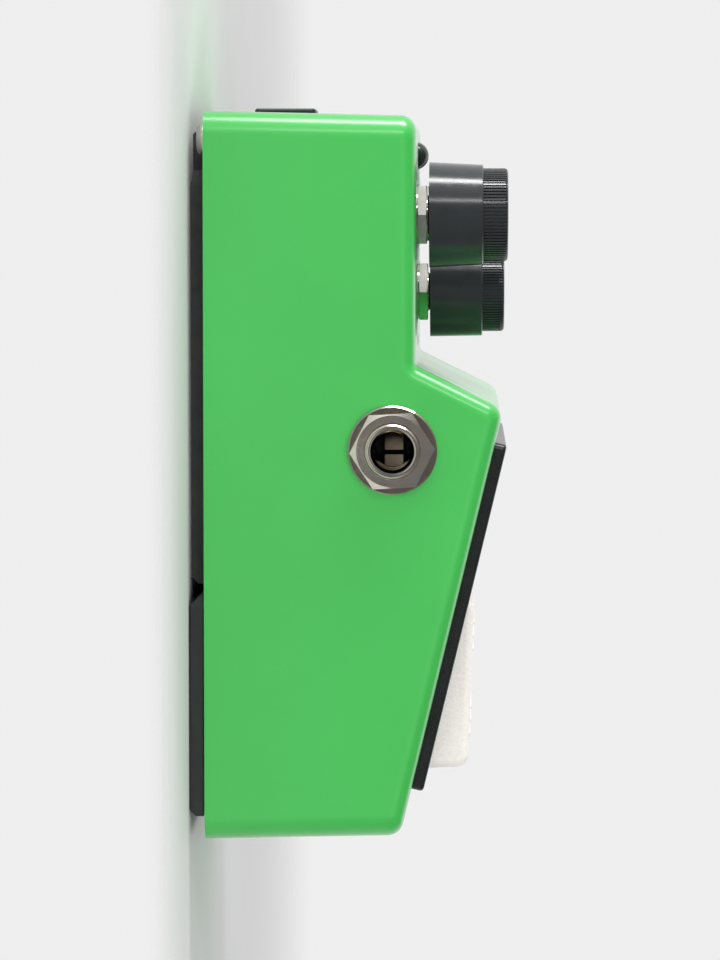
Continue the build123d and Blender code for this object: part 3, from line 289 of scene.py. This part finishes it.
def lamp_lens():
    """A dark domed lamp that is not lit."""
    made = Finish("lamp_dark", (0.012, 0.034, 0.018), 0.30)
    made.coat(0.5, 0.08).mottle(0.25, 900)
    made.set("Specular IOR Level", 0.3)
    return made.smudge(0.04, 2500).relief(made.noise(2500, 2), 0.00001, 0.2).material


def foam():
    """Open-cell foam."""
    made = Finish("foam_grey", (0.07, 0.07, 0.075), 0.95).mottle(0.25, 2200)
    return made.relief(made.cells(2400), 0.0004, 0.8).material


def battery_jacket():
    """Printed metal jacket: a dark body with a pale band at the terminal end."""
    dark = (0.05, 0.055, 0.065)
    gold = (0.62, 0.47, 0.16)
    lo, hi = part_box("battery")
    edge = hi.x - 0.25 * (hi.x - lo.x)
    made = Finish("battery_jacket", dark, 0.32, metallic=0.6).smudge(0.05, 700)
    made.blend(made.ramp(made.along_x(), edge, edge + 0.2 * MM), dark, gold)
    return made.relief(made.noise(900, 2), 0.00003, 0.2).material


def lacquer(name, color, roughness=0.35):
    """Lacquer or insulation on a small part."""
    made = Finish(name, color, roughness).mottle(0.12, 900).smudge(0.05, 1200)
    return made.relief(made.noise(2600, 2), 0.00002, 0.3).material


def pale_floor():
    """A matt floor that thins out into the plain background away from the pedal.

    In front of the pedal the camera sees through it, so that the open door shows.
    """
    made = Finish("pale_floor", (0.78, 0.78, 0.78), 0.85)
    made.mottle(0.01, 30, 4).set("Specular IOR Level", 0.1)
    made.relief(made.noise(900, 3), 0.0001, 0.15)
    away = made.vector_math("LENGTH", made.place, result="Value")
    faded = made.ramp(away, *FLOOR_FADE, kind="SMOOTHSTEP")
    front = made.ramp(made.along_x(), *FLOOR_OPENING, kind="SMOOTHSTEP")
    opened = made.number_math("MULTIPLY", front, made.camera_ray())
    gone = made.number_math("MAXIMUM", faded, opened)
    clear = made.node("ShaderNodeBsdfTransparent")
    both = made.node("ShaderNodeMixShader")
    made.link(gone, both.inputs["Fac"])
    made.link(made.shader.outputs["BSDF"], both.inputs[1])
    made.link(clear.outputs["BSDF"], both.inputs[2])
    made.link(both.outputs["Shader"], made.tree.nodes["Material Output"].inputs["Surface"])
    return made.material


sleeve_lo, sleeve_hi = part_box("output_jack_sleeve")
JACK_AXIS = ((sleeve_lo.y + sleeve_hi.y) / 2, (sleeve_lo.z + sleeve_hi.z) / 2)
NICKEL = plated("nickel", (0.66, 0.60, 0.52), 0.10)
SLEEVE = turned_nickel("turned_nickel", (0.74, 0.68, 0.60), *JACK_AXIS, 0.00006)
NUT = turned_nickel("faced_nickel", (0.88, 0.81, 0.72), *JACK_AXIS, 0.000018)
WASHER = turned_nickel("dull_nickel", (0.52, 0.46, 0.39), *JACK_AXIS, 0.000012)
STEEL = plated("zinc_steel", (0.62, 0.62, 0.60), 0.34, (1, 8, 1))
BRIGHT = plated("bright_zinc", (0.66, 0.64, 0.60), 0.20)
CONTACT = plated("contact_metal", (0.74, 0.68, 0.58), 0.18)
SHAFT = plated("turned_shaft", (0.72, 0.72, 0.73), 0.28, (1, 1, 6))
KNOB = moulded_plastic("knob_plastic", (0.024, 0.027, 0.030), 0.20, 0.000004, 0.25)
PLASTIC = moulded_plastic("black_plastic", (0.022, 0.023, 0.025), 0.42, 0.00002)
CHIP = moulded_plastic("chip_black", (0.018, 0.018, 0.018), 0.55, 0.00003)
WHITE = moulded_plastic("pointer_white", (0.80, 0.80, 0.77), 0.40, 0.00001)
DOOR = moulded_plastic("door_plastic", (0.024, 0.026, 0.026), 0.50, 0.00004)
BOARD = circuit_board()
PHENOLIC = lacquer("phenolic", (0.22, 0.11, 0.04), 0.5)

LOOKS = {
    "housing": green_enamel(),
    "base_plate": STEEL,
    "base_screws": BRIGHT,
    "rubber_foot": rubber("black_rubber", (0.070, 0.074, 0.072), 0.65),
    "treadle_mat": rubber("mat_rubber", (0.012, 0.014, 0.014), 0.28),
    "treadle_bracket": STEEL,
    "bracket_screws": BRIGHT,
    "hinge_pin": SHAFT,
    "pin_clips": STEEL,
    "pot_cans": STEEL,
    "pot_bushings": NICKEL,
    "pot_washers": NICKEL,
    "pot_nuts": BRIGHT,
    "pot_wafers": PHENOLIC,
    "pot_terminals": CONTACT,
    "main_board": BOARD,
    "op_amp": CHIP,
    "electrolytic_capacitors": lacquer("can_blue", (0.02, 0.05, 0.20)),
    "film_capacitors": lacquer("film_green", (0.03, 0.18, 0.08)),
    "resistors": lacquer("resistor_tan", (0.50, 0.36, 0.22)),
    "transistors": CHIP,
    "status_led": lamp_lens(),
    "led_leads": CONTACT,
    "output_jack_body": PLASTIC,
    "input_jack_body": PLASTIC,
    "output_jack_sleeve": SLEEVE,
    "input_jack_sleeve": SLEEVE,
    "output_jack_contacts": CONTACT,
    "input_jack_contacts": CONTACT,
    "jack_washers": WASHER,
    "jack_nuts": NUT,
    "dc_inlet_body": PLASTIC,
    "dc_inlet_pin": CONTACT,
    "dc_inlet_contacts": CONTACT,
    "battery": battery_jacket(),
    "battery_terminals": CONTACT,
    "battery_snap": PLASTIC,
    "battery_leads": lacquer("wire_red", (0.45, 0.02, 0.015)),
    "switch_board": BOARD,
    "switch_case": PLASTIC,
    "switch_terminals": CONTACT,
    "switch_plunger": WHITE,
    "hook_up_wires": lacquer("wire_blue", (0.03, 0.08, 0.35)),
    "treadle": treadle_silver(),
    "battery_door": DOOR,
    "door_foam": foam(),
}
for knob in KNOBS:
    LOOKS[f"{knob}_knob"] = KNOB
    LOOKS[f"{knob}_pointer"] = WHITE
    LOOKS[f"{knob}_shaft"] = SHAFT
    LOOKS[f"{knob}_wiper"] = PHENOLIC

for name, look in LOOKS.items():
    mesh = NODES[name].data
    mesh.materials.clear()
    mesh.materials.append(look)


# ---------------------------------------------------------------- pieces
def new_piece(name, mesh, look, body):
    """Links a finished mesh as a piece that moves with a CAD body."""
    piece = bpy.data.objects.new(name, mesh)
    bpy.context.scene.collection.objects.link(piece)
    mesh.materials.append(look)
    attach(piece, body)
    return piece


def built_mesh(name, bm):
    mesh = bpy.data.meshes.new(name)
    bm.to_mesh(mesh)
    bm.free()
    return mesh


def wall(bm, low, high):
    """Faces between two rings with the same number of corners."""
    for i in range(len(low)):
        j = (i + 1) % len(low)
        bm.faces.new((low[i], low[j], high[j], high[i]))


# raised ribs on the treadle
def treadle_top():
    """The rear and nose ends of the treadle's sloping top, at its middle."""
    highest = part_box("treadle")[1].z
    corners = [v.co for v in NODES["treadle"].data.vertices if v.co.z > highest - 1.6 * MM]
    top = [c for c in corners if c.z > highest - 0.05 * MM]
    rear = max(top, key=lambda c: c.y)
    nose = min(corners, key=lambda c: c.y)
    return rear, nose


def bar_outline(x0, x1, y, half):
    """The outline of a bar with round ends, from x0 to x1."""
    outline = []
    for end, middle in ((1, x1 - half), (-1, x0 + half)):
        for step in range(RIB_END_STEPS + 1):
            angle = math.pi * (step / RIB_END_STEPS - 0.5)
            outline.append((middle + end * half * math.cos(angle), y + end * half * math.sin(angle)))
    return outline


def ribs(name, bars):
    """Low bars with round ends and softened tops; each is (x0, x1, y, half width)."""
    rear, nose = treadle_top()
    normal = Vector((0, -TREADLE_FALL, 1)).normalized()
    bm = bmesh.new()
    for x0, x1, y, half in bars:
        rings = []
        for inset, lift in RIB_RINGS:
            ring = []
            for px, py in bar_outline(x0, x1, y, half):
                middle_x = min(max(px, x0 + half), x1 - half)
                qx = px + (middle_x - px) * inset
                qy = py + (y - py) * inset
                point = Vector((qx, qy, rear.z - TREADLE_FALL * (rear.y - qy)))
                ring.append(bm.verts.new(point + normal * RIB_HEIGHT * lift))
            rings.append(ring)
        for low, high in zip(rings, rings[1:]):
            wall(bm, low, high)
        bm.faces.new(rings[-1])
        bm.faces.new(list(reversed(rings[0])))
    mesh = built_mesh(name, bm)
    mesh.shade_smooth()
    mesh.set_sharp_from_angle(angle=math.radians(50))
    return new_piece(name, mesh, LOOKS["treadle"], "treadle")


top_rear, top_nose = treadle_top()
rib_rows = [top_rear.y - RIB_REAR_MARGIN - RIB_SPACING * row for row in range(RIB_ROWS)]
rib_rows += [top_nose.y + RIB_NOSE_MARGIN + RIB_SPACING * row for row in range(RIB_ROWS)]
rib_bars = [
    (side * RIB_CENTRE - RIB_REACH, side * RIB_CENTRE + RIB_REACH, y, RIB_HALF_WIDTH)
    for y in rib_rows for side in (-1, 1)
]
ribs("treadle_ribs", rib_bars)


# dial marks printed round each knob
def dial_marks(knob, deck_z):
    """Printed ticks over the knob's travel, the end ones and the middle one longer."""
    lo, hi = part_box(f"{knob}_knob")
    centre = (lo + hi) / 2
    inner = (hi.x - lo.x) / 2 + TICK_INNER
    outer = (hi.x - lo.x) / 2 + TICK_OUTER
    bm = bmesh.new()
    for step in range(TICKS):
        angle = math.radians(TICK_START + TICK_STEP * step)
        along = Vector((math.sin(angle), math.cos(angle), 0))
        across = Vector((along.y, -along.x, 0)) * TICK_HALF_WIDTH
        reach = outer if step in LONG_TICKS else outer - TICK_SHORTER
        corners = []
        for radius, side in ((inner, -1), (inner, 1), (reach, 1), (reach, -1)):
            point = along * radius + across * side
            corners.append(Vector((centre.x + point.x, centre.y + point.y, deck_z)))
        low = [bm.verts.new(c - Vector((0, 0, TICK_BELOW))) for c in corners]
        high = [bm.verts.new(c + Vector((0, 0, TICK_ABOVE))) for c in corners]
        bm.faces.new(high)
        bm.faces.new(list(reversed(low)))
        wall(bm, low, high)
    bmesh.ops.recalc_face_normals(bm, faces=bm.faces)
    name = f"{knob}_dial_marks"
    return new_piece(name, built_mesh(name, bm), CHIP, "body")


deck_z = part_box("pot_washers")[0].z
for knob in KNOBS:
    dial_marks(knob, deck_z)


# return springs, drawn as coils in place of the plain sleeves
def coils(name, foot, top, centres_x, y, radius):
    """Compression springs: a round wire on a helix whose end turns close up."""
    curve = bpy.data.curves.new(name, "CURVE")
    curve.dimensions = "3D"
    curve.bevel_depth = WIRE_R
    curve.bevel_resolution = 4
    curve.use_fill_caps = True
    steps = STEPS_PER_TURN * SPRING_TURNS
    for centre_x in centres_x:
        spline = curve.splines.new("NURBS")
        spline.points.add(steps)
        for i in range(steps + 1):
            share = i / steps
            rise = share - END_CLOSING * math.sin(2 * math.pi * share)
            angle = 2 * math.pi * SPRING_TURNS * share
            spline.points[i].co = (
                centre_x + radius * math.cos(angle), y + radius * math.sin(angle),
                foot + WIRE_R + (top - foot - 2 * WIRE_R) * rise, 1,
            )
        spline.order_u = 4
        spline.use_endpoint_u = True
    drawn = bpy.data.objects.new(name + "_wire", curve)
    bpy.context.scene.collection.objects.link(drawn)
    shape = drawn.evaluated_get(bpy.context.evaluated_depsgraph_get())
    mesh = bpy.data.meshes.new_from_object(shape)
    bpy.data.objects.remove(drawn)
    mesh.shade_smooth()
    return new_piece(name, mesh, STEEL, "body")


spring_lo, spring_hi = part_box("treadle_springs")
spring_y = (spring_lo.y + spring_hi.y) / 2
spring_r = (spring_hi.y - spring_lo.y) / 2
springs_x = (spring_lo.x + spring_r, spring_hi.x - spring_r)
spring = coils("return_springs", spring_lo.z, spring_hi.z, springs_x, spring_y, spring_r - WIRE_R)
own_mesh(spring)
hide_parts("treadle_springs")


# ---------------------------------------------------------------- stage, lights, camera
def studio_world():
    """A pale room whose side towards DARK_WAY, behind the camera, is left unlit."""
    world = bpy.data.worlds.new("studio")
    world.use_nodes = True
    made = Nodes(world.node_tree)
    background = made.tree.nodes["Background"]
    way = made.node("ShaderNodeTexCoord").outputs["Generated"]
    toward = made.vector_math("DOT_PRODUCT", way, Vector(DARK_WAY).normalized(), "Value")
    room = made.ramp(toward, 0.0, DARK_FADE_END, ROOM_PALE, ROOM_DARK, "SMOOTHSTEP")
    shown = made.node("ShaderNodeMix", B=SKY)
    made.link(made.camera_ray(), shown.inputs["Factor"])
    made.link(room, shown.inputs["A"])
    made.link(shown.outputs["Result"], background.inputs["Strength"])
    background.inputs["Color"].default_value = (1, 1, 1, 1)
    return world


def area_light(name, place, width, height, power, in_reflections):
    light = bpy.data.lights.new(name, "AREA")
    light.shape = "RECTANGLE"
    light.size = width
    light.size_y = height
    light.energy = power
    lamp = bpy.data.objects.new(name, light)
    bpy.context.scene.collection.objects.link(lamp)
    lamp.location = place
    lamp.rotation_mode = "QUATERNION"
    lamp.rotation_quaternion = (Vector(LIT_POINT) - Vector(place)).to_track_quat("-Z", "Y")
    lamp.visible_glossy = in_reflections


bpy.ops.mesh.primitive_plane_add(size=FLOOR_SIZE, location=(0, 0, 0))
floor = bpy.context.object
floor.name = "floor"
floor.data.materials.append(pale_floor())

bpy.context.scene.world = studio_world()
bpy.context.scene.view_settings.view_transform = "Standard"
for light in LIGHTS:
    area_light(*light)

camera_data = bpy.data.cameras.new("camera")
camera_data.lens = LENS
camera_data.sensor_width = SENSOR_WIDTH
camera_data.clip_start = CLIP_NEAR
camera_data.clip_end = CLIP_FAR
camera = bpy.data.objects.new("camera", camera_data)
bpy.context.scene.collection.objects.link(camera)
camera.location = CAMERA_AT
camera.rotation_mode = "QUATERNION"
forward = (LOOKS_AT - CAMERA_AT).normalized()
right = forward.cross(Vector((0, 1, 0))).normalized()
up = right.cross(forward)
camera.rotation_quaternion = Matrix((right, up, -forward)).transposed().to_quaternion()
bpy.context.scene.camera = camera
